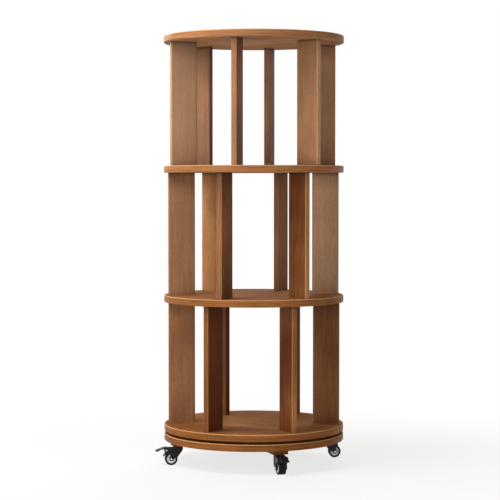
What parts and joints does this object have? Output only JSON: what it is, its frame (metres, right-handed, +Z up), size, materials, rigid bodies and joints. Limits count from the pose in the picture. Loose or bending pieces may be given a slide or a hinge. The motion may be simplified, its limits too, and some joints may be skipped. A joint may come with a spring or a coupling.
{
  "type": "revolving bookcase",
  "caption": "Round revolving bookcase on castors: shelves parted by radial slats turn as one tower on a ball bearing set on a castored base, with toe brakes.",
  "frame": {"origin": "on the floor, under the axis of the turntable", "axes": "+Z up along the axis of the turntable, the longest extent; +X and +Y lie between the castors, which stand on the diagonals"},
  "size_m": [0.4599, 0.46, 1.09],
  "materials": {
    "board_wood": "stained and clear lacquered, semi-gloss",
    "slat_wood": "stained and clear lacquered, semi-gloss",
    "block_wood": "dark stained, satin",
    "bearing_steel": "zinc plated, pressed sheet",
    "stem_steel": "zinc plated, turned",
    "fork_plastic": "moulded nylon, satin",
    "pedal_plastic": "moulded nylon, satin",
    "tyre_rubber": "moulded soft tread, matt",
    "hub_plastic": "moulded, satin"
  },
  "bodies": {
    "base": {"base_plate": "board_wood", "castor_block_1": "block_wood", "castor_block_2": "block_wood", "castor_block_3": "block_wood", "castor_block_4": "block_wood", "castor_stems": "stem_steel", "bearing_lower_plate": "bearing_steel"},
    "ball_cage": {"bearing_ball_cage": "bearing_steel"},
    "tower": {"bearing_upper_plate": "bearing_steel", "bottom_shelf": "board_wood", "middle_shelf": "board_wood", "upper_shelf": "board_wood", "top_plate": "board_wood", "lower_slat_1": "slat_wood", "lower_slat_2": "slat_wood", "lower_slat_3": "slat_wood", "lower_slat_4": "slat_wood", "lower_slat_5": "slat_wood", "lower_slat_6": "slat_wood", "middle_slat_1": "slat_wood", "middle_slat_2": "slat_wood", "middle_slat_3": "slat_wood", "middle_slat_4": "slat_wood", "middle_slat_5": "slat_wood", "middle_slat_6": "slat_wood", "upper_slat_1": "slat_wood", "upper_slat_2": "slat_wood", "upper_slat_3": "slat_wood", "upper_slat_4": "slat_wood", "upper_slat_5": "slat_wood", "upper_slat_6": "slat_wood"},
    "castor_1": {"castor_fork_1": "fork_plastic"},
    "wheel_1": {"castor_tyre_1": "tyre_rubber", "castor_hub_1": "hub_plastic"},
    "pedal_1": {"brake_pedal_1": "pedal_plastic"},
    "castor_2": {"castor_fork_2": "fork_plastic"},
    "wheel_2": {"castor_tyre_2": "tyre_rubber", "castor_hub_2": "hub_plastic"},
    "castor_3": {"castor_fork_3": "fork_plastic"},
    "wheel_3": {"castor_tyre_3": "tyre_rubber", "castor_hub_3": "hub_plastic"},
    "castor_4": {"castor_fork_4": "fork_plastic"},
    "wheel_4": {"castor_tyre_4": "tyre_rubber", "castor_hub_4": "hub_plastic"},
    "pedal_4": {"brake_pedal_4": "pedal_plastic"}
  },
  "joints": [
    {"name": "turntable_spin", "type": "hinge", "parent": "base", "child": "tower", "pos_m": [0, 0, 0.079], "axis": [0, 0, 1], "continuous": true},
    {"name": "ball_cage_spin", "type": "hinge", "parent": "base", "child": "ball_cage", "pos_m": [0, 0, 0.079], "axis": [0, 0, 1], "continuous": true},
    {"name": "castor_swivel_1", "type": "hinge", "parent": "base", "child": "castor_1", "pos_m": [0.14284, -0.14284, 0.042], "axis": [0, 0, 1], "continuous": true},
    {"name": "castor_roll_1", "type": "hinge", "parent": "castor_1", "child": "wheel_1", "pos_m": [0.15534, -0.15578, 0.016], "axis": [0.7193, 0.6947, 0], "continuous": true},
    {"name": "brake_pedal_press_1", "type": "hinge", "parent": "castor_1", "child": "pedal_1", "pos_m": [0.16402, -0.16478, 0.0385], "axis": [0.7193, 0.6947, 0], "range_deg": [0, 10]},
    {"name": "castor_swivel_2", "type": "hinge", "parent": "base", "child": "castor_2", "pos_m": [0.14284, 0.14284, 0.042], "axis": [0, 0, 1], "continuous": true},
    {"name": "castor_roll_2", "type": "hinge", "parent": "castor_2", "child": "wheel_2", "pos_m": [0.15842, 0.15184, 0.016], "axis": [-0.5, 0.866, 0], "continuous": true},
    {"name": "castor_swivel_3", "type": "hinge", "parent": "base", "child": "castor_3", "pos_m": [-0.14284, 0.14284, 0.042], "axis": [0, 0, 1], "continuous": true},
    {"name": "castor_roll_3", "type": "hinge", "parent": "castor_3", "child": "wheel_3", "pos_m": [-0.14596, 0.16056, 0.016], "axis": [-0.9848, -0.1736, 0], "continuous": true},
    {"name": "castor_swivel_4", "type": "hinge", "parent": "base", "child": "castor_4", "pos_m": [-0.14284, -0.14284, 0.042], "axis": [0, 0, 1], "continuous": true},
    {"name": "castor_roll_4", "type": "hinge", "parent": "castor_4", "child": "wheel_4", "pos_m": [-0.15776, -0.1529, 0.016], "axis": [0.5592, -0.829, 0], "continuous": true},
    {"name": "brake_pedal_press_4", "type": "hinge", "parent": "castor_4", "child": "pedal_4", "pos_m": [-0.16812, -0.15989, 0.0385], "axis": [0.5592, -0.829, 0], "range_deg": [0, 10]}
  ],
  "couplings": [
    {"joint": "ball_cage_spin", "follows": "turntable_spin", "ratio": 0.5}
  ]
}
